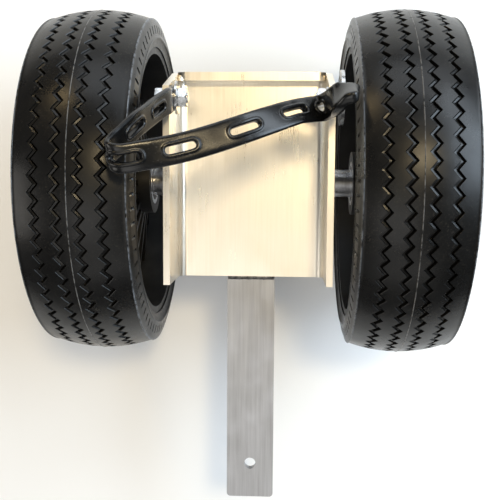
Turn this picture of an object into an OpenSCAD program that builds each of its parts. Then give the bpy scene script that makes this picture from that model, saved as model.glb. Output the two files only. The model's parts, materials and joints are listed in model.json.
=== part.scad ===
// Two-wheel jack dolly: an aluminium channel tray on a through axle,
// a drawbar tongue under it, two moulded wheels and a rubber retaining strap.
// +Z is up, X runs along the axle and the tongue points along -Y.
// The origin is the middle of the tray floor, straight above the axle.

/* [Tray] */
// Clear width between the two side flanges
tray_inner_w = 114.3; // [100:0.1:116]
// Thickness of the floor and the flanges
tray_wall = 4.8; // [3:0.1:5.5]
// Height of the flanges over the floor
flange_h = 52.4; // [50:0.1:56]
// Radius inside each bottom corner
corner_r = 6.4; // [3:0.1:7]
// Distance from the axle to the open end of the tray
tray_front = 74.4; // [60:0.1:90]
// Distance from the axle to the closed end of the tray
tray_back = 84.4; // [80:0.1:95]
// Height of the end stop over the floor
stop_h = 8; // [8:0.5:14]
// Thickness of the end stop
stop_t = 6.35; // [4:0.05:8]

/* [Tongue] */
// Width of the flat drawbar
tongue_w = 38.1; // [30:0.1:50]
// Thickness of the flat drawbar
tongue_t = 6.35; // [5:0.05:10]
// Length of the flat drawbar
tongue_len = 228.6; // [200:0.1:236]
// Distance from the axle to the far end of the drawbar
tongue_reach = 259.7; // [250:0.1:266]
// Diameter of the hitch hole
hitch_d = 9.5; // [7:0.1:13]
// Distance of the hitch hole from the end of the drawbar
hitch_inset = 28.4; // [15:0.1:40]

/* [Axle] */
// Diameter of the axle bar
axle_d = 15.88; // [15.8:0.01:15.9]
// Half the length of the axle bar
axle_half = 158; // [157:0.5:164]
// Outside diameter of the tube that holds the axle
tube_d = 19; // [18.4:0.1:24]
// Half the length of that tube
tube_half = 66; // [60:0.5:68]

/* [Wheels] */
// Distance from the middle of the tray to each wheel's middle plane
wheel_x = 114.2; // [114:0.1:120]
// Radius of the tyre at its crown
tyre_r = 133.35; // [130:0.05:140]
// Half the width between the two shoulder ridges
ridge_half = 37.5; // [36:0.1:39]
// Radius where the tyre meets the wheel rim's edge
bead_r = 112.5; // [110:0.1:114]
// Half the width of the tyre
tyre_half = 41.5; // [41:0.1:42]
// Number of ribs on each face of a rim
rib_count = 16; // [12:1:20]

/* [Strap] */
// Width of the rubber strap
strap_w = 19; // [16:0.5:24]
// Thickness of the rubber strap
strap_t = 4; // [3:0.1:4.5]
// Thickness of the pull tab on its free end
tab_t = 8; // [5:0.1:9]
// Width of the pull tab
tab_w = 22; // [19:0.5:28]
// Height of the strap bolts over the tray floor
bolt_z = 39.4; // [36:0.1:40]
// Distance of the strap bolts from the axle
bolt_y = 62.5; // [58:0.1:66]
// Diameter of the keeper washer
keeper_d = 40; // [30:0.5:44]

/* [Hidden] */
$fn = 96;

// Small gaps: between pieces that slide, and beside the soft strap
fit_gap = 0.02;
soft_gap = 0.3;
pivot_gap = 0.08;

// The tray
inner_half = tray_inner_w / 2;
outer_half = inner_half + tray_wall;
outer_corner_r = 1.5;
slant_start_z = 4;
slant_run = 14.5;
floor_half = inner_half - corner_r;

// The tongue
tongue_corner_r = 3;
tongue_top = -tray_wall;
tongue_far_y = -tongue_reach;
tongue_near_y = tongue_far_y + tongue_len;

// The axle and its tube
axle_z = -tray_wall - tube_d / 2;
axle_r = axle_d / 2;
tube_bore_r = axle_r + 0.1;
axle_chamfer = 1;

// Weld beads
bead_size = 3.2;
tube_weld_x = 38;
tube_weld_len = 28;

// The hub: bearings at both ends with a sleeve between them
hub_half = 35;
hub_r = 25;
hub_bore_r = 13;
bearing_w = 11;
bearing_r = 17.5;
ring_inner_r = axle_r + fit_gap;
ring_inner_top = 11.1;
ring_outer_bore = 14.3;
groove_depth = 0.8;
ball_r = (ring_outer_bore - ring_inner_top) / 2 + groove_depth - 0.05;
ball_track_r = (ring_inner_top + ring_outer_bore) / 2;
ball_count = 9;
seal_t = 0.8;
seal_gap = 0.1;
sleeve_r = 10.5;
washer_t = 2.5;
washer_r = 11;
pin_r = 1.6;
pin_x = wheel_x + hub_half + washer_t + 2.4;
pin_half = 12;
pin_eye_r = 3.2;

// The rim
rim_r = 106;
rim_half = 39;
rim_bore_r = 101;
rim_barrel_half = 38;
rim_web_half = 4;
rib_t = 4.5;
rib_hub_w = 26;
rib_edge_w = 12;

// The tyre's curved tread: its radius at a distance w from the middle plane
crown_k = 0.618;
shoulder_half = 40.5;
shoulder_r = 119;
tread_steps = 14;
function tread_r(w) = tyre_r * (1 - crown_k * pow(w / tyre_r, 2));

// M8 fastener sizes
m8_r = 4;
m8_hole_r = 4.2;
m8_flats = 13;
m8_head_t = 5.3;
m8_nut_t = 6.5;
nut_chamfer = 1.2;
m8_washer_r = 12;
m8_small_washer_r = 8;
m8_washer_t = 1.6;
m8_end_over = 1;
strap_seat = strap_t - 1.5;
strap_plane_x = -inner_half + soft_gap + strap_seat / 2;
bolt_washer_x = -inner_half + 2 * soft_gap + strap_seat;
keeper_gap = 3.6;
keeper_t = 2.5;
dome_r = 8;
dome_t = 4;
dome_sphere_r = (dome_r * dome_r + dome_t * dome_t) / (2 * dome_t);

// The route of the strap's middle line from its bolt to its free end
strap_lean = [0, -0.2, 0.98];
strap_pad_len = 20;
strap_path = [
  [strap_plane_x, bolt_y, bolt_z] + strap_pad_len * unit(strap_lean),
  [-56.6, 57, 66], [-61.8, 50.6, 81.5], [-66, 43.8, 98.5],
  [-69.8, 37.8, 112.8], [-75.8, 29.4, 123.4], [-80.6, 23.4, 130.4], [-81.8, 19.2, 135.8],
  [-78.6, 16.8, 138.8], [-72, 16.2, 139.6], [-57, 19, 136.6], [-37.7, 23.2, 131.4],
  [-18, 29.1, 126], [2.3, 36.3, 119.6], [18, 42.2, 111.5], [32.4, 47.6, 100.5],
  [42.4, 50, 90.5], [50.5, 51.6, 84], [55.9, 53.6, 97], [60.3, 56, 109],
  [65.3, 58.2, 112], [73.3, 58.6, 113.5]];
// The strap's width direction turns from the leaning bolt end to the tilted tab
strap_side = [[0, 0.98, 0.2], [0, 0.93, 0.37], [0, 0.92, 0.4], [-0.3, 0.95, 0],
  [-0.33, 0.93, -0.1], [-0.35, 0.8, -0.45], [-0.2, 0.93, -0.12], [0.1, 0.83, -0.4],
  [0.2, 0.51, -0.84], [0.05, 0.33, -0.94]];
strap_side_at = [0, 2, 6, 11, 13, 15, 18, 19, 20, 21];
// How much narrower the faces are than the band, as its long edges are rounded
strap_edge = 0.93;

module x_cyl(r, x0, x1) {
  translate([x0, 0, 0]) rotate([0, 90, 0]) cylinder(r = r, h = x1 - x0);
}

module x_ring(r_out, r_in, x0, x1) {
  difference() {
    x_cyl(r_out, x0, x1);
    x_cyl(r_in, x0 - 1, x1 + 1);
  }
}

module x_hex(flats, x0, x1) {
  translate([x0, 0, 0]) rotate([0, 90, 0]) cylinder(r = flats / sqrt(3), h = x1 - x0, $fn = 6);
}

module at_axle() { translate([0, 0, axle_z]) children(); }
module at_bolt() { translate([0, bolt_y, bolt_z]) children(); }
module both_sides() {
  for (s = [0, 1]) mirror([s, 0, 0]) children();
}

// A flat-bottomed outline with two rounded bottom corners
module trough(half, bottom, r, top) {
  translate([-half, bottom + r]) square([2 * half, top - bottom - r]);
  translate([-half + r, bottom]) square([2 * (half - r), 2 * r]);
  for (s = [-1, 1]) translate([s * (half - r), bottom + r]) circle(r = r);
}

// Outline across the tray's length, with the floor's top on y = 0
module tray_outline() {
  difference() {
    trough(outer_half, -tray_wall, outer_corner_r, flange_h);
    trough(inner_half, 0, corner_r, flange_h + 1);
  }
}

module tray() {
  color("Gainsboro") difference() {
    translate([0, tray_back, 0]) rotate([90, 0, 0])
      linear_extrude(tray_front + tray_back) tray_outline();
    // The closed end of each flange slopes back towards its tip
    rotate([90, 0, 90]) translate([0, 0, -outer_half - 1]) linear_extrude(2 * outer_half + 2)
      polygon([[tray_back, slant_start_z], [tray_back + 2, slant_start_z],
        [tray_back + 2, flange_h + 1], [tray_back - slant_run, flange_h + 1],
        [tray_back - slant_run, flange_h]]);
    at_bolt() x_cyl(m8_hole_r, -outer_half - 1, outer_half + 1);
    // The floor ends at the stop bar
    translate([-floor_half, tray_back - stop_t, -tray_wall - 1])
      cube([2 * floor_half, stop_t + 1, tray_wall + 2]);
  }
}

// A flat bar on edge that closes the end, welded between the flanges to the floor's edge
module end_stop() {
  color("Gainsboro") translate([0, tray_back, 0]) rotate([90, 0, 0]) linear_extrude(stop_t) {
    trough(inner_half, 0, corner_r, stop_h);
    translate([-floor_half, -tray_wall]) square([2 * floor_half, tray_wall + 1]);
  }
}

// A flat bar with rounded corners and the hitch hole near its far end
module tongue_bar() {
  color("DarkGray") translate([0, 0, tongue_top - tongue_t]) linear_extrude(tongue_t)
    difference() {
      union() {
        translate([-tongue_w / 2 + tongue_corner_r, tongue_far_y])
          square([tongue_w - 2 * tongue_corner_r, tongue_len]);
        translate([-tongue_w / 2, tongue_far_y + tongue_corner_r])
          square([tongue_w, tongue_len - 2 * tongue_corner_r]);
        for (sx = [-1, 1], y = [tongue_far_y + tongue_corner_r, tongue_near_y - tongue_corner_r])
          translate([sx * (tongue_w / 2 - tongue_corner_r), y]) circle(r = tongue_corner_r);
      }
      translate([0, tongue_far_y + hitch_inset]) circle(d = hitch_d);
    }
}

module axle_tube() {
  color("Silver") at_axle() x_ring(tube_d / 2, tube_bore_r, -tube_half, tube_half);
}

// One straight bead of triangular section along X, in the corner at y = 0, z = 0
module bead(len, dy, dz) {
  translate([-len / 2, 0, 0]) rotate([90, 0, 90]) linear_extrude(len)
    polygon([[0, 0], [dy * bead_size, 0], [0, dz * bead_size]]);
}

// One bead across the tongue where it leaves the tray, and one under the floor
module tongue_weld() {
  color("SlateGray") {
    translate([0, -tray_front, tongue_top]) bead(tongue_w - 1, -1, 1);
    translate([0, tongue_near_y, tongue_top]) bead(tongue_w - 2 * tongue_corner_r, 1, -1);
  }
}

// Beads between the floor and both sides of the tube
module tube_welds() {
  color("SlateGray") difference() {
    for (s = [-1, 1], x = [-tube_weld_x, tube_weld_x])
      translate([x - tube_weld_len / 2, s * tube_d / 2, -tray_wall])
        rotate([90, 0, 90]) linear_extrude(tube_weld_len)
          polygon([[s * 0.8, 0], [-s * tube_d / 4, 0], [-s * tube_d / 4, -tube_d / 4],
            [-s * 1.4, -tube_d / 3]]);
    at_axle() x_cyl(tube_d / 2, -tube_half, tube_half);
  }
}

module axle() {
  color("Silver") at_axle() difference() {
    union() {
      x_cyl(axle_r, -axle_half + axle_chamfer, axle_half - axle_chamfer);
      both_sides() translate([axle_half - axle_chamfer, 0, 0]) rotate([0, 90, 0])
        cylinder(r1 = axle_r, r2 = axle_r - axle_chamfer, h = axle_chamfer);
    }
    both_sides() translate([pin_x, 0, 0]) cylinder(r = pin_r + fit_gap, h = 40, center = true);
  }
}

module axle_spacers() {
  color("Silver") at_axle() both_sides()
    x_ring(washer_r, ring_inner_r, tube_half, wheel_x - hub_half);
}

module hub_sleeves() {
  color("Silver") at_axle() both_sides()
    x_ring(sleeve_r, ring_inner_r, wheel_x - hub_half + bearing_w, wheel_x + hub_half - bearing_w);
}

module end_washers() {
  color("Gainsboro") at_axle() both_sides()
    x_ring(washer_r, ring_inner_r, wheel_x + hub_half, wheel_x + hub_half + washer_t);
}

// A straight pin through the axle with a ring eye at its upper end
module cotter_pins() {
  color("Goldenrod") at_axle() both_sides() translate([pin_x, 0, 0]) {
    cylinder(r = pin_r, h = 2 * pin_half, center = true);
    translate([0, 0, pin_half + pin_eye_r - 0.4]) rotate([90, 0, 0])
      rotate_extrude() translate([pin_eye_r, 0]) circle(r = pin_r);
  }
}

module at_bearings() {
  for (x = [wheel_x - hub_half, wheel_x + hub_half - bearing_w]) translate([x, 0, 0]) children();
}

module race_groove() {
  translate([bearing_w / 2, 0, 0]) rotate([0, 90, 0]) rotate_extrude()
    translate([ball_track_r, 0]) circle(r = ball_r + 0.04);
}

module bearing_inner_rings() {
  color("Silver") at_axle() both_sides() at_bearings() difference() {
    x_ring(ring_inner_top, ring_inner_r, 0, bearing_w);
    race_groove();
  }
}

module bearing_balls() {
  color("WhiteSmoke") at_axle() both_sides() at_bearings()
    for (i = [0:ball_count - 1]) rotate([360 / ball_count * i, 0, 0])
      translate([bearing_w / 2, 0, ball_track_r]) sphere(r = ball_r);
}

module bearing_outer_rings() {
  color("Silver") at_bearings() difference() {
    x_ring(bearing_r - fit_gap / 2, ring_outer_bore, 0, bearing_w);
    race_groove();
  }
}

module bearing_seals() {
  color("DimGray") at_bearings() for (x = [0.3, bearing_w - 0.3 - seal_t])
    x_ring(ring_outer_bore, ring_inner_top + seal_gap, x, x + seal_t);
}

// The tyre: crowned tread, shoulder ridge, flat sidewall lip and a plain seat
module tyre() {
  color([0.09, 0.09, 0.09]) translate([wheel_x, 0, 0]) rotate([0, 90, 0]) rotate_extrude()
    polygon(concat(
      [[rim_r, -rim_half], [bead_r, -tyre_half], [shoulder_r, -shoulder_half]],
      [for (i = [0:tread_steps]) let (w = ridge_half * (2 * i / tread_steps - 1)) [tread_r(w), w]],
      [[shoulder_r, shoulder_half], [bead_r, tyre_half], [rim_r, rim_half]]));
}

module rim_barrel() {
  color([0.06, 0.06, 0.06]) translate([wheel_x, 0, 0])
    x_ring(rim_r, rim_bore_r, -rim_barrel_half, rim_barrel_half);
}

module web() {
  color([0.06, 0.06, 0.06]) translate([wheel_x, 0, 0])
    x_ring(rim_bore_r, hub_r, -rim_web_half, rim_web_half);
}

// The hub, with a seat for a bearing at each end
module hub() {
  color([0.06, 0.06, 0.06]) difference() {
    translate([wheel_x, 0, 0]) x_ring(hub_r, hub_bore_r, -hub_half, hub_half);
    x_cyl(bearing_r, wheel_x - hub_half - 1, wheel_x - hub_half + bearing_w);
    x_cyl(bearing_r, wheel_x + hub_half - bearing_w, wheel_x + hub_half + 1);
  }
}

// Radial ribs on both faces of the web, lower towards the barrel
module ribs() {
  color([0.06, 0.06, 0.06]) translate([wheel_x, 0, 0]) intersection() {
    x_cyl(rim_bore_r, -hub_half, hub_half);
    for (i = [0:rib_count - 1], s = [-1, 1])
      rotate([360 / rib_count * i, 0, 0]) rotate([90, 0, 0])
        translate([0, 0, -rib_t / 2]) linear_extrude(rib_t)
          polygon([[s * rim_web_half, hub_r], [s * rib_hub_w, hub_r],
            [s * rib_edge_w, rim_r], [s * rim_web_half, rim_r]]);
  }
}

module on_left() { at_axle() mirror([1, 0, 0]) children(); }
module on_right() { at_axle() children(); }
module left_tyre() { on_left() tyre(); }
module left_rim_barrel() { on_left() rim_barrel(); }
module left_web() { on_left() web(); }
module left_hub() { on_left() hub(); }
module left_ribs() { on_left() ribs(); }
module left_bearing_outer_rings() { on_left() bearing_outer_rings(); }
module left_bearing_seals() { on_left() bearing_seals(); }
module right_tyre() { on_right() tyre(); }
module right_rim_barrel() { on_right() rim_barrel(); }
module right_web() { on_right() web(); }
module right_hub() { on_right() hub(); }
module right_ribs() { on_right() ribs(); }
module right_bearing_outer_rings() { on_right() bearing_outer_rings(); }
module right_bearing_seals() { on_right() bearing_seals(); }

// The bolt that the strap swings on, with its head outside the left flange
strap_nut_x = bolt_washer_x + m8_washer_t;
module strap_bolt() {
  color("Gainsboro") at_bolt() {
    x_cyl(m8_r, -outer_half - m8_washer_t, strap_nut_x + m8_nut_t + m8_end_over);
    x_hex(m8_flats, -outer_half - m8_washer_t - m8_head_t, -outer_half - m8_washer_t);
  }
}

module strap_bolt_washers() {
  color("WhiteSmoke") at_bolt() {
    x_ring(m8_small_washer_r, m8_hole_r, -outer_half - m8_washer_t, -outer_half);
    x_ring(m8_washer_r, m8_hole_r, bolt_washer_x, strap_nut_x);
  }
}

// A hexagon nut with chamfered corners, from x0 on along X
module hex_nut(x0) {
  wide = m8_flats / 2 + nut_chamfer;
  difference() {
    intersection() {
      x_hex(m8_flats, x0, x0 + m8_nut_t);
      translate([x0, 0, 0]) rotate([0, 90, 0]) {
        cylinder(r1 = m8_flats / 2, r2 = wide, h = nut_chamfer);
        translate([0, 0, nut_chamfer]) cylinder(r = wide, h = m8_nut_t - 2 * nut_chamfer);
        translate([0, 0, m8_nut_t - nut_chamfer])
          cylinder(r1 = wide, r2 = m8_flats / 2, h = nut_chamfer);
      }
    }
    x_cyl(m8_r, x0 - 1, x0 + m8_nut_t + 1);
  }
}

module strap_bolt_nut() { color("WhiteSmoke") at_bolt() hex_nut(strap_nut_x); }

// The keeper: a round-headed bolt that holds a wide washer off the right flange
keeper_nut_x = inner_half - m8_washer_t - m8_nut_t;
keeper_x = outer_half + keeper_gap;
module keeper_bolt() {
  color("WhiteSmoke") at_bolt() {
    x_cyl(m8_r, keeper_nut_x - m8_end_over, keeper_x + keeper_t);
    translate([keeper_x + keeper_t, 0, 0]) rotate([0, 90, 0]) rotate_extrude()
      intersection() {
        square([dome_r, dome_t]);
        translate([0, dome_t - dome_sphere_r]) circle(r = dome_sphere_r);
      }
  }
}

module keeper_washer() {
  color("WhiteSmoke") at_bolt() x_ring(keeper_d / 2, m8_hole_r, keeper_x, keeper_x + keeper_t);
}

module keeper_collar() {
  color("Silver") at_bolt() x_ring(m8_small_washer_r - 1, m8_hole_r, outer_half, keeper_x);
}

module keeper_inner_washer() {
  color("WhiteSmoke") at_bolt()
    x_ring(m8_small_washer_r, m8_hole_r, inner_half - m8_washer_t, inner_half);
}

module keeper_nut() { color("WhiteSmoke") at_bolt() hex_nut(keeper_nut_x); }

// The bolted end of the strap: a flat pad round the bolt that leans over the tray
module strap_end() {
  color([0.1, 0.1, 0.11]) translate([strap_plane_x, bolt_y, bolt_z])
    rotate([atan2(-strap_lean[1], strap_lean[2]), 0, 0]) rotate([90, 0, 90])
      translate([0, 0, -strap_seat / 2]) linear_extrude(strap_seat) difference() {
        union() {
          circle(d = strap_w);
          translate([-strap_w / 2, 0]) square([strap_w, strap_pad_len]);
        }
        circle(r = m8_r + pivot_gap);
      }
}

// Vector helpers for the swept part of the strap
function unit(v) = v / norm(v);
function mix(a, b, t) = a + (b - a) * t;
last = len(strap_path) - 1;
function side_raw(i, k = 0) = i <= strap_side_at[k + 1] || k == len(strap_side) - 2
  ? mix(strap_side[k], strap_side[k + 1],
      (i - strap_side_at[k]) / (strap_side_at[k + 1] - strap_side_at[k]))
  : side_raw(i, k + 1);
function tangent(i) = i == 0 ? unit(strap_lean)
  : unit(strap_path[min(i + 1, last)] - strap_path[max(i - 1, 0)]);
function side(i) = let (t = tangent(i), s = side_raw(i)) unit(s - t * (s * t));
// How far a station is into the tab: 0 on the band, 1 on the tab's last two stations
function in_tab(i) = max(0, min(1, (i - last + 3) / 2));
function half_t(i) = (i < 1 ? strap_seat : mix(strap_t, tab_t, in_tab(i))) / 2;
function half_w(i) = mix(strap_w, tab_w, in_tab(i)) / 2;

// Eight points round the strap's rounded-rectangle section
section = [[1, -0.5], [1, 0.5], [strap_edge, 1], [-strap_edge, 1], [-1, 0.5], [-1, -0.5],
  [-strap_edge, -1], [strap_edge, -1]];
function ring(i) = let (s = side(i), n = cross(tangent(i), s))
  [for (p = section) strap_path[i] + s * (p[0] * half_w(i)) + n * (p[1] * half_t(i))];

module strap_band() {
  count = len(section);
  color([0.1, 0.1, 0.11]) polyhedron(
    points = [for (i = [0:last]) each ring(i)],
    faces = concat(
      [[for (k = [0:count - 1]) k]],
      [[for (k = [0:count - 1]) last * count + count - 1 - k]],
      [for (i = [0:last - 1], k = [0:count - 1]) let (a = i * count + k,
        b = i * count + (k + 1) % count) each [[a, a + count, b], [b, a + count, b + count]]]));
}

tray();
end_stop();
tongue_bar();
axle_tube();
tongue_weld();
tube_welds();
axle();
axle_spacers();
hub_sleeves();
end_washers();
cotter_pins();
bearing_inner_rings();
bearing_balls();
strap_bolt();
strap_bolt_washers();
strap_bolt_nut();
keeper_bolt();
keeper_washer();
keeper_collar();
keeper_inner_washer();
keeper_nut();
left_tyre();
left_rim_barrel();
left_web();
left_hub();
left_ribs();
left_bearing_outer_rings();
left_bearing_seals();
right_tyre();
right_rim_barrel();
right_web();
right_hub();
right_ribs();
right_bearing_outer_rings();
right_bearing_seals();
strap_end();
strap_band();
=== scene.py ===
import json
import math

import bmesh
import bpy
import numpy as np
from mathutils import Matrix, Vector


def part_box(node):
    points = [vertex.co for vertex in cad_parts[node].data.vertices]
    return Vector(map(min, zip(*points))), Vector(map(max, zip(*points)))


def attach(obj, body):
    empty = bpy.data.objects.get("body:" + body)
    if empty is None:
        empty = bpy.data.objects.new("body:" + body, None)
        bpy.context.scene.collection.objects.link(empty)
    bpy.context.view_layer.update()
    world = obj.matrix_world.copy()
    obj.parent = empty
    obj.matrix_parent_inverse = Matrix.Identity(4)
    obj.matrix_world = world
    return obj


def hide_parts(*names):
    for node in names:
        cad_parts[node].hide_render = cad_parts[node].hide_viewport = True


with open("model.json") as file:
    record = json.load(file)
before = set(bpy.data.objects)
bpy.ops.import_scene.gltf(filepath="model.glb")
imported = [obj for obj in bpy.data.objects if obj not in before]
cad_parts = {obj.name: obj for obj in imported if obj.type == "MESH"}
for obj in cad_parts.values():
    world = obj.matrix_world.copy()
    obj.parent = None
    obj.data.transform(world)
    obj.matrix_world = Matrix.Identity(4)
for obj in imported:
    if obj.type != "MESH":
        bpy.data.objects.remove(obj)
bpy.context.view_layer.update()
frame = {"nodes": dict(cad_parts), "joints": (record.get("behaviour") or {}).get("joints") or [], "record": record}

MM = 0.001

# ---------------------------------------------------------------- the frame

def joint(name):
    return next(j for j in frame["joints"] if j["name"] == name)


TYRE_LOW, TYRE_HIGH = (Vector(c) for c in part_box("right_tyre"))
WHEEL_X = (TYRE_LOW.x + TYRE_HIGH.x) / 2
AXLE_Z = (TYRE_LOW.z + TYRE_HIGH.z) / 2
TYRE_R = (TYRE_HIGH.z - TYRE_LOW.z) / 2
FLOOR_Z = TYRE_LOW.z

# ---------------------------------------------------------------- camera

EYE = Vector((0.0266, 0.0089, 0.5996))
AIM = Vector((0.0, -0.0533, 0.0))
CAMERA_UP = Vector((-0.0069, 1.0, 0.0))
LENS = 54.26


def add_camera():
    data = bpy.data.cameras.new("camera")
    data.lens = LENS
    data.sensor_width = 36.0
    data.clip_start = 0.01
    camera = bpy.data.objects.new("camera", data)
    bpy.context.scene.collection.objects.link(camera)
    back = (EYE - AIM).normalized()
    right = CAMERA_UP.cross(back).normalized()
    up = back.cross(right)
    turn = Matrix((right, up, back)).transposed().to_4x4()
    camera.matrix_world = Matrix.Translation(EYE) @ turn
    bpy.context.scene.camera = camera


add_camera()

# ---------------------------------------------------------------- materials


class Look:
    """A material whose colour, roughness and relief are built from nodes."""

    def __init__(self, name, **sockets):
        self.material = bpy.data.materials.new(name)
        self.material.use_nodes = True
        self.tree = self.material.node_tree
        self.shader = self.tree.nodes["Principled BSDF"]
        self.place = self.tree.nodes.new("ShaderNodeTexCoord").outputs["Object"]
        for socket, value in sockets.items():
            self.shader.inputs[socket.replace("_", " ")].default_value = value

    def node(self, kind, inputs=(), **settings):
        made = self.tree.nodes.new("ShaderNode" + kind)
        for name, value in settings.items():
            setattr(made, name, value)
        for key, value in dict(inputs).items():
            if isinstance(value, bpy.types.NodeSocket):
                self.tree.links.new(value, made.inputs[key])
            else:
                made.inputs[key].default_value = value
        return made

    def stretch(self, x, y, z):
        return self.node("Mapping", {"Vector": self.place, "Scale": (x, y, z)}).outputs[0]

    def noise(self, scale, detail=3.0, rough=0.55, where=None):
        inputs = {"Vector": where or self.place, "Scale": scale, "Detail": detail, "Roughness": rough}
        return self.node("TexNoise", inputs).outputs["Fac"]

    def specks(self, scale, where=None):
        inputs = {"Vector": where or self.place, "Scale": scale}
        return self.node("TexVoronoi", inputs).outputs["Distance"]

    def math(self, how, a, b=0.0, clamp=False):
        made = self.node("Math", {0: a, 1: b}, operation=how, use_clamp=clamp)
        return made.outputs[0]

    def step(self, value, low, high, to_low=0.0, to_high=1.0):
        inputs = {"Value": value, "From Min": low, "From Max": high, "To Min": to_low, "To Max": to_high}
        return self.node("MapRange", inputs).outputs["Result"]

    def mix(self, amount, a, b):
        made = self.node("Mix", {0: amount}, data_type="RGBA")
        for key, value in ((6, a), (7, b)):
            if isinstance(value, bpy.types.NodeSocket):
                self.tree.links.new(value, made.inputs[key])
            else:
                made.inputs[key].default_value = (*value, 1.0)
        return made.outputs[2]

    def relief(self, height, strength, distance, under=None):
        inputs = {"Height": height, "Strength": strength, "Distance": distance}
        if under:
            inputs["Normal"] = under
        return self.node("Bump", inputs).outputs["Normal"]

    def wire(self, **sockets):
        for name, value in sockets.items():
            self.tree.links.new(value, self.shader.inputs[name.replace("_", " ")])
        return self.material


def metal_look(name, light, dark, smooth, rough, grain, streak=1.0, dents=0.1):
    """Drawn or rolled metal: fine streaks along Y, smudges and a few shallow marks."""
    look = Look(name, Metallic=1.0)
    fine = look.noise(1.0, 4.0, 0.6, look.stretch(grain, grain * 0.03, grain))
    cloud = look.noise(38.0, 4.0, 0.6)
    broad = look.noise(9.0, 2.0)
    streaks = look.step(fine, 0.35, 0.68, 1.0 - streak, 1.0)
    blend = look.math("MULTIPLY", streaks, look.step(cloud, 0.25, 0.75, 0.8, 1.0))
    colour = look.mix(blend, dark, light)
    roughness = look.step(cloud, 0.3, 0.7, smooth, rough)
    roughness = look.math("ADD", roughness, look.step(fine, 0.3, 0.7, -0.04, 0.05))
    roughness = look.math("ADD", roughness, look.step(broad, 0.4, 0.65, 0.0, 0.06), clamp=True)
    marks = look.step(look.specks(150.0), 0.0, 0.06, 0.0, 1.0)
    normal = look.relief(fine, 0.05, 0.0004)
    normal = look.relief(marks, dents, 0.0002, normal)
    return look.wire(Base_Color=colour, Roughness=roughness, Normal=normal)


def zinc_look(name):
    look = Look(name, Metallic=1.0)
    cloud = look.noise(220.0, 3.0)
    grain = look.noise(1500.0, 2.0)
    colour = look.mix(look.step(cloud, 0.35, 0.7), (0.62, 0.64, 0.66), (0.45, 0.45, 0.44))
    roughness = look.step(cloud, 0.3, 0.7, 0.16, 0.32)
    return look.wire(Base_Color=colour, Roughness=roughness, Normal=look.relief(grain, 0.08, 0.0002))


def weld_look(name):
    look = Look(name, Metallic=0.85)
    cloud = look.noise(420.0, 5.0, 0.7)
    soot = look.noise(140.0, 3.0)
    colour = look.mix(look.step(soot, 0.4, 0.62), (0.42, 0.41, 0.4), (0.13, 0.13, 0.135))
    roughness = look.step(cloud, 0.3, 0.7, 0.38, 0.7)
    return look.wire(Base_Color=colour, Roughness=roughness, Normal=look.relief(cloud, 0.6, 0.0006))


def tyre_look(name):
    """Black moulded rubber: patches of road dust, specks, a worn parting line and a painted bluish highlight along
    the shoulder ridges.
    """
    look = Look(name, Specular_IOR_Level=0.31)
    axis = look.node("SeparateXYZ", {0: look.place}).outputs
    off_centre = look.math("ABSOLUTE", axis["X"])
    # Patchy noise that breaks up both the worn parting line and the painted ridge highlight
    wear_and_highlight_breaks = look.step(look.noise(260.0, 3.0), 0.36, 0.56)
    line = look.math("MULTIPLY", look.step(off_centre, 0.00016, 0.0005, 1.0, 0.0), wear_and_highlight_breaks)
    # Painted highlight: a thin lighter band 37.4 mm from the tread's middle, along each shoulder ridge
    ridge_highlight = look.math("ABSOLUTE", look.math("SUBTRACT", off_centre, 0.0374))
    ridge_highlight = look.math("MULTIPLY", look.step(ridge_highlight, 0.0001, 0.0007, 1.0, 0.0), wear_and_highlight_breaks)
    patches = look.step(look.noise(14.0, 3.0, 0.6), 0.42, 0.66)
    dust = look.math("MULTIPLY", look.step(look.noise(900.0, 2.0), 0.56, 0.72), patches)
    crumbs = look.step(look.specks(420.0), 0.06, 0.1, 1.0, 0.0)
    crumbs = look.math("MULTIPLY", crumbs, look.step(look.noise(60.0, 2.0), 0.5, 0.62))
    rubber = look.mix(look.noise(24.0, 3.0), (0.0022, 0.0022, 0.0023), (0.0048, 0.0045, 0.004))
    colour = look.mix(look.math("MULTIPLY", dust, 0.35), rubber, (0.105, 0.09, 0.066))
    colour = look.mix(look.math("MULTIPLY", crumbs, 0.55), colour, (0.16, 0.14, 0.11))
    colour = look.mix(look.math("MULTIPLY", line, 0.6), colour, (0.22, 0.21, 0.2))
    # The painted ridge highlight, bluish grey laid over the rubber
    colour = look.mix(look.math("MULTIPLY", ridge_highlight, 0.6), colour, (0.2, 0.22, 0.25))
    cloud = look.noise(42.0, 4.0, 0.6)
    roughness = look.math("ADD", look.step(cloud, 0.3, 0.7, 0.24, 0.36), look.math("MULTIPLY", dust, 0.2))
    normal = look.relief(look.noise(1300.0, 2.0), 0.1, 0.0002)
    normal = look.relief(look.noise(70.0, 2.0), 0.12, 0.0008, normal)
    return look.wire(Base_Color=colour, Roughness=roughness, Normal=normal)


def plastic_look(name):
    look = Look(name, Specular_IOR_Level=0.45)
    dust = look.step(look.noise(30.0, 4.0, 0.65), 0.45, 0.75)
    colour = look.mix(dust, (0.0085, 0.0085, 0.009), (0.022, 0.021, 0.02))
    roughness = look.step(look.noise(55.0, 3.0), 0.3, 0.7, 0.36, 0.55)
    normal = look.relief(look.noise(1100.0, 2.0), 0.12, 0.0002)
    return look.wire(Base_Color=colour, Roughness=roughness, Normal=normal)


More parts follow.
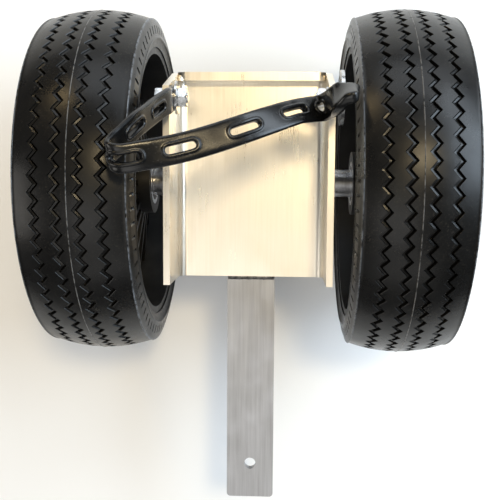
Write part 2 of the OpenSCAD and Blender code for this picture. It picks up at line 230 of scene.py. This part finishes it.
def strap_look(name):
    """Dense black rubber with a gloss, fine dust and scuffed patches."""
    look = Look(name, Specular_IOR_Level=0.42)
    dust = look.step(look.noise(700.0, 2.0), 0.6, 0.74)
    dust = look.math("MULTIPLY", dust, look.step(look.noise(45.0, 2.0), 0.42, 0.62))
    scuff = look.step(look.noise(90.0, 4.0, 0.7), 0.5, 0.72)
    rubber = look.mix(scuff, (0.003, 0.0031, 0.0033), (0.0065, 0.0067, 0.007))
    colour = look.mix(look.math("MULTIPLY", dust, 0.25), rubber, (0.15, 0.145, 0.14))
    roughness = look.step(look.noise(60.0, 3.0), 0.3, 0.7, 0.19, 0.28)
    normal = look.relief(look.noise(1000.0, 2.0), 0.06, 0.0002)
    return look.wire(Base_Color=colour, Roughness=roughness, Normal=normal)


def floor_look(name):
    look = Look(name, Specular_IOR_Level=0.1)
    tone = look.mix(look.noise(3.0, 2.0), (0.93, 0.93, 0.93), (0.9, 0.9, 0.895))
    return look.wire(Base_Color=tone, Roughness=look.step(look.noise(6.0), 0.3, 0.7, 0.75, 0.85))


LOOKS = {
    "mill_aluminium": metal_look("mill_aluminium", (0.95, 0.89, 0.79), (0.86, 0.78, 0.66),
                                 0.24, 0.38, 600.0, 0.5, 0.04),
    "bar_aluminium": metal_look("bar_aluminium", (0.48, 0.485, 0.5), (0.36, 0.36, 0.37),
                                0.34, 0.5, 500.0, dents=0.35),
    "weld_metal": weld_look("weld_metal"),
    "axle_steel": metal_look("axle_steel", (0.62, 0.62, 0.63), (0.45, 0.45, 0.46), 0.22, 0.36, 700.0),
    "zinc_plate": zinc_look("zinc_plate"),
    "bearing_steel": metal_look("bearing_steel", (0.7, 0.7, 0.71), (0.6, 0.6, 0.61),
                                0.14, 0.24, 1200.0, dents=0.05),
    "seal_rubber": plastic_look("seal_rubber"),
    "tyre_rubber": tyre_look("tyre_rubber"),
    "rim_plastic": plastic_look("rim_plastic"),
    "strap_rubber": strap_look("strap_rubber"),
}

for part in frame["record"]["subparts"]:
    mesh = frame["nodes"][part["node"]].data
    mesh.materials.clear()
    mesh.materials.append(LOOKS[part["material_slot"]])

# ---------------------------------------------------------------- mesh tools


def add_mesh(name, points, faces, slot, body, location=(0, 0, 0), sharp_deg=32.0):
    """A smooth-shaded object from points in metres, riding on a CAD body."""
    mesh = bpy.data.meshes.new(name)
    mesh.from_pydata([tuple(p) for p in points], [], faces)
    mesh.validate()
    mesh.update()
    mesh.polygons.foreach_set("use_smooth", [True] * len(mesh.polygons))
    mesh.set_sharp_from_angle(angle=math.radians(sharp_deg))
    mesh.materials.append(LOOKS[slot])
    made = bpy.data.objects.new(name, mesh)
    made.location = location
    bpy.context.scene.collection.objects.link(made)
    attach(made, body)
    return made


def ring_faces(around, across):
    """Quads of a grid that closes on itself both ways."""
    faces = []
    for i in range(around):
        j = (i + 1) % around
        for k in range(across):
            m = (k + 1) % across
            faces.append((i * across + k, j * across + k, j * across + m, i * across + m))
    return faces


# ---------------------------------------------------------------- tyres

PERIODS = 75
STEPS_A_PERIOD = 8
ZIGZAG = 2.4
GROOVES = (7.6, 22.4)
CROWN_K = 0.618
# Offsets and depths across one groove: a shallow step on the left, a deep slot on the right
GROOVE_SECTION = ((-2.3, 0.0), (-2.0, 0.3), (-1.75, 1.1), (-0.15, 1.5), (0.1, 3.1), (0.7, 3.6),
                  (1.35, 3.2), (1.6, 0.2), (1.85, 0.0))
# The sidewall from the shoulder ridge in to the rim: half width, radius, is it in a slot
SIDEWALL = ((36.2, None, 0), (36.7, 0.15, 0), (37.1, 0.7, 0), (37.6, 0.65, 0), (38.0, 125.9, 0),
            (38.6, 124.2, 0), (39.3, 122.3, 0), (39.45, 121.8, 1), (40.4, 116.4, 1), (40.5, 115.9, 0),
            (41.0, 114.0, 0), (41.15, 113.7, 0), (41.45, 113.4, 0), (41.5, 112.8, 0), (41.2, 112.3, 0),
            (40.5, 111.9, 0), (39.6, 110.2, 0), (39.1, 106.1, 0))
SLOT_DEPTH = 1.1


def crown(w):
    """The tyre's radius at a distance from the middle of its tread."""
    return TYRE_R / MM * (1 - CROWN_K * (w / (TYRE_R / MM)) ** 2)


def tread_columns():
    """Across the tread: distance from the middle, groove depth, how far it follows the zigzag."""
    columns = [(-0.3, 0.0, 0.0), (0.0, -0.35, 0.0), (0.3, 0.0, 0.0)]
    for sign in (-1, 1):
        columns += [(sign * w, 0.0, follow) for w, follow in
                    ((1.6, 0.1), (4.0, 0.6), (12.0, 1.0), (15.0, 1.0), (18.0, 1.0), (26.8, 0.8),
                     (29.5, 0.4), (32.5, 0.1), (34.8, 0.0))]
        for centre in GROOVES:
            columns += [(sign * centre + off, depth, 1.0) for off, depth in GROOVE_SECTION]
    return sorted(columns)


def tyre_points(flip):
    """One ring of points a step, in millimetres from the wheel's centre."""
    tread = tread_columns()
    sides = []
    for half, radius, slot in SIDEWALL:
        radius = crown(half) if radius is None else radius
        radius = crown(half) + radius if radius < 1 else radius
        sides.append((half, radius, slot))
    steps = PERIODS * STEPS_A_PERIOD
    points = []
    for step in range(steps):
        phase = step % STEPS_A_PERIOD / STEPS_A_PERIOD
        wave = ZIGZAG * (1 - 4 * abs(phase - 0.5)) * flip
        angle = 2 * math.pi * step / steps
        in_slot = step % STEPS_A_PERIOD == 3
        ring = []
        for half, radius, slot in reversed(sides):
            ring.append((-half + (SLOT_DEPTH if slot and in_slot else 0), radius))
        for w, depth, follow in tread:
            w += wave * follow
            ring.append((w, crown(w) - depth))
        for half, radius, slot in sides:
            ring.append((half - (SLOT_DEPTH if slot and in_slot else 0), radius))
        for w, radius in ring:
            points.append((w * MM, radius * MM * math.sin(angle), radius * MM * math.cos(angle)))
    return points, steps, len(ring)


for side, sign in (("left", -1), ("right", 1)):
    points, around, across = tyre_points(sign)
    place = (sign * WHEEL_X, 0, AXLE_Z)
    faces = ring_faces(around, across)
    tyre = add_mesh(side + "_tread_tyre", points, faces, "tyre_rubber", side + "_wheel", place)
    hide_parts(side + "_tyre")

# ---------------------------------------------------------------- strap

PIVOT = Vector(joint("strap_swing")["pos_m"])
STRAP_W = 19.0
STRAP_T = 4.0
SEAT_T = 2.5
TAB_T = 8.0
TAB_W = 22.0
LEAN = Vector((0.0, -0.2, 0.98)).normalized()
# The route of the middle line, the same points as the CAD's strap
ROUTE = [
    (-56.6, 57, 66), (-61.8, 50.6, 81.5), (-66, 43.8, 98.5), (-69.8, 37.8, 112.8),
    (-75.8, 29.4, 123.4), (-80.6, 23.4, 130.4), (-81.8, 19.2, 135.8), (-78.6, 16.8, 138.8),
    (-72, 16.2, 139.6), (-57, 19, 136.6), (-37.7, 23.2, 131.4), (-18, 29.1, 126),
    (2.3, 36.3, 119.6), (18, 42.2, 111.5), (32.4, 47.6, 100.5), (42.4, 50, 90.5),
    (50.5, 51.6, 84), (55.9, 53.6, 97), (60.3, 56, 109), (65.3, 58.2, 112),
    (73.3, 58.6, 113.5)]
# The width direction at some of the route's points, counted from the pad's end
SIDES = {0: (0, 0.98, 0.2), 2: (0, 0.93, 0.37), 6: (0, 0.92, 0.4), 11: (-0.3, 0.95, 0),
         13: (-0.33, 0.93, -0.1), 15: (-0.35, 0.8, -0.45), 18: (-0.2, 0.93, -0.12),
         19: (0.1, 0.83, -0.4), 20: (0.2, 0.51, -0.84), 21: (0.05, 0.33, -0.94)}
PAD_LEN = 20.0
# How far the strap reaches past its bolt, and how much of it stays exactly flat
START_LEN = 12
FLAT_LEN = 8
# Middles of the slots, as lengths of strap from the bolt
SLOTS = (45.0, 81.0, 125.0, 159.5, 202.0, 240.7, 268.0)
SLOT_HALF = 7.6
LAST_SLOT_HALF = 4.0
SLOT_R = 2.3
RIM_W = 2.6
RIM_H = 0.9
TAB_CORNER = 4.0


def strap_frames():
    """The strap's middle line in 1 mm steps: lengths, points, tangents and width directions."""
    bolt = np.array(PIVOT) / MM
    lean = np.array(LEAN)
    knots = [bolt - START_LEN * lean, bolt, bolt + PAD_LEN * lean] + [np.array(p, float) for p in ROUTE]
    marks = sorted(SIDES)
    sides = [np.array(SIDES[0], float)] * 2
    for i in range(len(ROUTE) + 1):
        sides.append(np.array([np.interp(i, marks, [SIDES[m][k] for m in marks]) for k in range(3)]))
    knots.append(2 * knots[-1] - knots[-2])
    sides.append(sides[-1])
    knots = [2 * knots[0] - knots[1]] + knots
    sides = [sides[0]] + sides
    points, widths = [], []
    for i in range(1, len(knots) - 2):
        a, b, c, d = knots[i - 1:i + 3]
        for t in np.linspace(0, 1, 24, endpoint=False):
            points.append(0.5 * (2 * b + (c - a) * t + (2 * a - 5 * b + 4 * c - d) * t * t
                                 + (3 * b - a - 3 * c + d) * t ** 3))
            widths.append(sides[i] * (1 - t) + sides[i + 1] * t)
    points = np.array(points)
    lengths = np.r_[0, np.cumsum(np.linalg.norm(np.diff(points, axis=0), axis=1))] - START_LEN
    even = np.arange(-START_LEN, lengths[-1], 1.0)
    points = np.stack([np.interp(even, lengths, points[:, k]) for k in range(3)], 1)
    widths = np.stack([np.interp(even, lengths, np.array(widths)[:, k]) for k in range(3)], 1)
    bend = START_LEN + FLAT_LEN
    for _ in range(3):
        points[bend:-1] = (points[bend - 1:-2] + 2 * points[bend:-1] + points[bend + 1:]) / 4
    tangents = np.gradient(points, axis=0)
    tangents /= np.linalg.norm(tangents, axis=1, keepdims=True)
    widths -= tangents * np.sum(widths * tangents, axis=1, keepdims=True)
    widths /= np.linalg.norm(widths, axis=1, keepdims=True)
    return even, points, tangents, widths


EVEN, LINE, TANGENTS, WIDTHS = strap_frames()
STRAP_LEN = EVEN[-1]


def strap_thickness(u):
    """Thin on the bolt's pad, full along the strap and thickest at the tab."""
    marks = [14, 24, STRAP_LEN - 32, STRAP_LEN - 14, STRAP_LEN]
    return float(np.interp(u, marks, [SEAT_T, STRAP_T, STRAP_T, TAB_T, TAB_T]))


def strap_width(u):
    """Half width: wider at the tab, and drawn in where the tab's end is rounded."""
    left = max(0.0, STRAP_LEN - u)
    drawn = 0.0
    if left <= TAB_CORNER:
        drawn = TAB_CORNER - math.sqrt(max(0.0, TAB_CORNER ** 2 - (TAB_CORNER - left) ** 2))
    full = float(np.interp(left, [12, 30], [TAB_W / 2, STRAP_W / 2]))
    return full - drawn * 0.7


def on_strap(u, v, h):
    """The place in the row frame of a point u along, v across and h above the strap's middle."""
    point, tangent, width = (np.array([np.interp(u, EVEN, table[:, k]) for k in range(3)])
                             for table in (LINE, TANGENTS, WIDTHS))
    up = np.cross(tangent, width)
    return (point + v * width + h * up) * MM


def rim_outline(u, v, radius, half):
    """The point of a round-ended slot's outline that faces the cell's edge point (u, v)."""
    near = max(-half, min(half, u))
    away = Vector((u - near, v)).normalized() * radius
    return near + away.x, away.y


def cell_border(u0, u1, across=6, along=8, round_start=False):
    """Points round a cell of the strap, in order: u, v from -1 to 1, and the round end's angle."""
    border = []
    if round_start:
        for i in range(4):
            border.append((u1 - u1 * (i / 4), -1.0, 0))
        for i in range(14):
            border.append((0.0, 0.0, math.pi * i / 14))
        for i in range(4):
            border.append((u1 * i / 4, 1.0, 0))
    else:
        border += [(u1 + (u0 - u1) * i / along, -1.0, 0) for i in range(along)]
        border += [(u0, -1.0 + 2 * i / across, 0) for i in range(across)]
        border += [(u0 + (u1 - u0) * i / along, 1.0, 0) for i in range(along)]
    border += [(u1, 1.0 - 2 * i / across, 0) for i in range(across)]
    return border


def build_strap():
    """A flat control cage of the strap, smoothed, then laid along the route."""
    cage = bmesh.new()
    seen = {}
    flat_half = STRAP_W / 2 - 0.6

    def vertex(u, v, h):
        key = (round(u, 2), round(v, 2), round(h, 2))
        if key not in seen:
            seen[key] = cage.verts.new(key)
        return seen[key]

    def loop_faces(outer, inner, turn):
        for k in range(len(outer)):
            m = (k + 1) % len(outer)
            quad = [outer[k], outer[m], inner[m], inner[k]]
            cage.faces.new(quad if turn > 0 else quad[::-1])

    def slot_cell(u0, u1, centre, half, radius, rim_w, rim_h, round_start=False):
        border = []
        for u, v, angle in cell_border(u0, u1, round_start=round_start):
            if angle or (round_start and (u, v) == (0.0, 0.0)):
                border.append((-flat_half * math.sin(angle), -flat_half * math.cos(angle)))
            else:
                border.append((u, v * flat_half))
        rings = {}
        for turn in (1, -1):
            def ring(r, h):
                spots = [rim_outline(u - centre, v, r, half) for u, v in border]
                return [vertex(centre + a, b, turn * h) for a, b in spots]
            outer = [vertex(u, v, turn) for u, v in border]
            loops = [outer, ring(radius + rim_w + 0.2, 1.0), ring(radius + rim_w, 1.0 + 0.1 * rim_h),
                     ring(radius + rim_w - 0.3, 1.0 + rim_h), ring(radius + 0.9, 1.0 + rim_h),
                     ring(radius + 0.5, 1.0 + 0.4 * rim_h), ring(radius, 1.0)]
            for a, b in zip(loops, loops[1:]):
                loop_faces(a, b, turn)
            rings[turn] = loops[-1]
        loop_faces(rings[1], rings[-1], 1)

    def plain_cell(u0, u1, pieces):
        for turn in (1, -1):
            for i in range(pieces):
                a, b = u0 + (u1 - u0) * i / pieces, u0 + (u1 - u0) * (i + 1) / pieces
                for k in range(6):
                    v, w = (-1 + k / 3) * flat_half, (-1 + (k + 1) / 3) * flat_half
                    quad = [vertex(a, v, turn), vertex(b, v, turn), vertex(b, w, turn), vertex(a, w, turn)]
                    cage.faces.new(quad if turn > 0 else quad[::-1])

    slot_cell(None, 20.0, 0.0, 0.0, 4.2, 1.4, 0.0, round_start=True)
    edges = [SLOTS[0] - 18] + [(a + b) / 2 for a, b in zip(SLOTS, SLOTS[1:])] + [SLOTS[-1] + 14]
    plain_cell(20.0, edges[0], 2)
    for u0, u1, centre in zip(edges, edges[1:], SLOTS):
        half = LAST_SLOT_HALF if centre == SLOTS[-1] else SLOT_HALF
        slot_cell(u0, u1, centre, half, SLOT_R, RIM_W, RIM_H)
    plain_cell(edges[-1], STRAP_LEN, 5)

    # Side walls: each open edge of the upper skin joins the lower skin through a middle row
    open_edges = [e for e in cage.edges if len(e.link_faces) == 1 and all(v.co.z > 0.5 for v in e.verts)]
    middles = {}

    def middle(v):
        if v not in middles:
            u, across = v.co.x, v.co.y
            if u <= 0:
                scale = (STRAP_W / 2) / math.hypot(u, across)
                spot = (u * scale, across * scale)
            elif u > STRAP_LEN - 0.01:
                spot = (u + 0.5, across)
            else:
                spot = (u, math.copysign(STRAP_W / 2, across))
            middles[v] = cage.verts.new((*spot, 0.0))
        return middles[v]

    for edge in open_edges:
        a, b = (loop.vert for loop in (edge.link_loops[0], edge.link_loops[0].link_loop_next))
        low = [seen[(round(v.co.x, 2), round(v.co.y, 2), -1.0)] for v in (a, b)]
        cage.faces.new((b, a, middle(a), middle(b)))
        cage.faces.new((middle(b), middle(a), low[0], low[1]))
    bmesh.ops.recalc_face_normals(cage, faces=cage.faces)

    mesh = bpy.data.meshes.new("strap_cage")
    cage.to_mesh(mesh)
    cage.free()
    holder = bpy.data.objects.new("strap_cage", mesh)
    bpy.context.scene.collection.objects.link(holder)
    smooth = holder.modifiers.new("smooth", "SUBSURF")
    smooth.levels = 2
    evaluated = holder.evaluated_get(bpy.context.evaluated_depsgraph_get())
    fine = bpy.data.meshes.new_from_object(evaluated)
    bpy.data.objects.remove(holder)
    points = []
    for v in fine.vertices:
        u, across, high = v.co
        half = strap_thickness(u) / 2
        lift = high * half if abs(high) <= 1 else math.copysign(half + abs(high) - 1, high)
        points.append(on_strap(u, across * strap_width(u) / (STRAP_W / 2), lift))
    faces = [tuple(p.vertices) for p in fine.polygons]
    strap = add_mesh("rubber_strap", points, faces, "strap_rubber", "strap", sharp_deg=70.0)
    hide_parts("strap_end", "strap_band")


build_strap()

# ---------------------------------------------------------------- weld beads


def weld_bead(name, corner, length, toward, seed, size=3.2, pitch=2.4):
    """A rippled fillet along X in the corner at (y, z): toward gives the signs of its legs."""
    rng = np.random.default_rng(seed)
    along, round_steps = int(length / 0.35), 9
    wobble = rng.normal(0, 0.1, along + 1)
    wobble = np.convolve(wobble, np.ones(4) / 4, mode="same")
    points = []
    for i in range(along + 1):
        x = -length / 2 + length * i / along
        taper = min(1.0, 0.25 + min(i, along - i) / 6)
        for k in range(round_steps + 1):
            angle = math.pi / 2 * k / round_steps
            bulge = math.sin(2 * angle)
            wave = abs(math.sin(math.pi * (x + 0.9 * bulge) / pitch))
            radius = size * taper * (0.82 + 0.16 * wave + wobble[i] + 0.1 * bulge)
            y = corner[1] + toward[0] * radius * math.cos(angle)
            z = corner[2] + toward[1] * radius * math.sin(angle)
            points.append(((corner[0] + x) * MM, y * MM, z * MM))
        points.append(((corner[0] + x) * MM, corner[1] * MM, corner[2] * MM))
    across = round_steps + 2
    faces = []
    for i in range(along):
        for k in range(across):
            m = (k + 1) % across
            faces.append((i * across + k, (i + 1) * across + k, (i + 1) * across + m, i * across + m))
    faces.append(tuple(range(across)))
    faces.append(tuple(along * across + across - 1 - k for k in range(across)))
    add_mesh(name, points, faces, "weld_metal", "chassis", sharp_deg=60.0)


TRAY_END_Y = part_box("tray")[0][1] / MM
BAR_TOP_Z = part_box("tongue_bar")[1][2] / MM
BEAD_LEN = 37.0
weld_bead("tongue_bead", (0, TRAY_END_Y, BAR_TOP_Z), BEAD_LEN, (-1, 1), 3)

# ---------------------------------------------------------------- floor and light


def add_floor():
    half = 3.0
    mesh = bpy.data.meshes.new("floor")
    corners = [(x * half, y * half, FLOOR_Z) for x, y in ((-1, -1), (1, -1), (1, 1), (-1, 1))]
    mesh.from_pydata(corners, [], [(0, 1, 2, 3)])
    mesh.materials.append(floor_look("floor"))
    floor = bpy.data.objects.new("floor", mesh)
    bpy.context.scene.collection.objects.link(floor)


def add_area(name, place, aim, size, power, colour):
    data = bpy.data.lights.new(name, "AREA")
    data.shape = "RECTANGLE"
    data.size, data.size_y = size
    data.energy = power
    data.color = colour
    lamp = bpy.data.objects.new(name, data)
    lamp.location = place
    lamp.rotation_euler = (Vector(aim) - Vector(place)).to_track_quat("-Z", "Y").to_euler()
    bpy.context.scene.collection.objects.link(lamp)


def add_world():
    world = bpy.data.worlds.new("studio")
    world.use_nodes = True
    back = world.node_tree.nodes["Background"]
    back.inputs["Color"].default_value = (0.92, 0.95, 1.0, 1.0)
    back.inputs["Strength"].default_value = 0.12
    bpy.context.scene.world = world


add_floor()
add_world()
add_area("softbox", (1.5, 0.5, 1.2), (0, 0, 0), (1.1, 1.1), 32.0, (0.74, 0.87, 1.0))
add_area("streak", (1.2, 1.4, 1.15), (0, 0, 0), (0.8, 0.8), 12.0, (0.8, 0.9, 1.0))
add_area("ceiling", (0.5, 0.7, 2.4), (0, 0, 0), (0.35, 0.35), 22.0, (1.0, 0.8, 0.48))
add_area("lamp", (-0.85, 1.7, 1.2), (-0.1, 0, 0), (0.3, 0.3), 5.0, (1.0, 0.74, 0.38))
add_area("strip", (-0.15, -0.75, 1.6), (-0.15, -0.75, 0), (0.8, 0.9), 4.2, (1.0, 0.98, 0.95))
add_area("spot", (-0.05, -0.02, 1.45), (-0.05, -0.02, 0), (0.4, 0.5), 0.66, (1.0, 0.93, 0.74))
add_area("window", (0.4, 2.4, 1.0), (0, 0, 0), (2.2, 1.3), 20.0, (0.9, 0.95, 1.0))
add_area("right", (2.0, 0.2, 0.7), (0.05, 0, 0), (1.6, 1.0), 16.0, (0.72, 0.86, 1.0))
add_area("left", (-2.0, -0.4, 1.2), (-0.3, -0.2, 0), (1.4, 1.0), 14.0, (1.0, 0.96, 0.9))
add_area("front", (0.1, -2.0, 1.5), (0, -0.2, 0), (1.8, 1.0), 5.0, (1.0, 0.98, 0.94))
bpy.context.scene.view_settings.view_transform = "Standard"
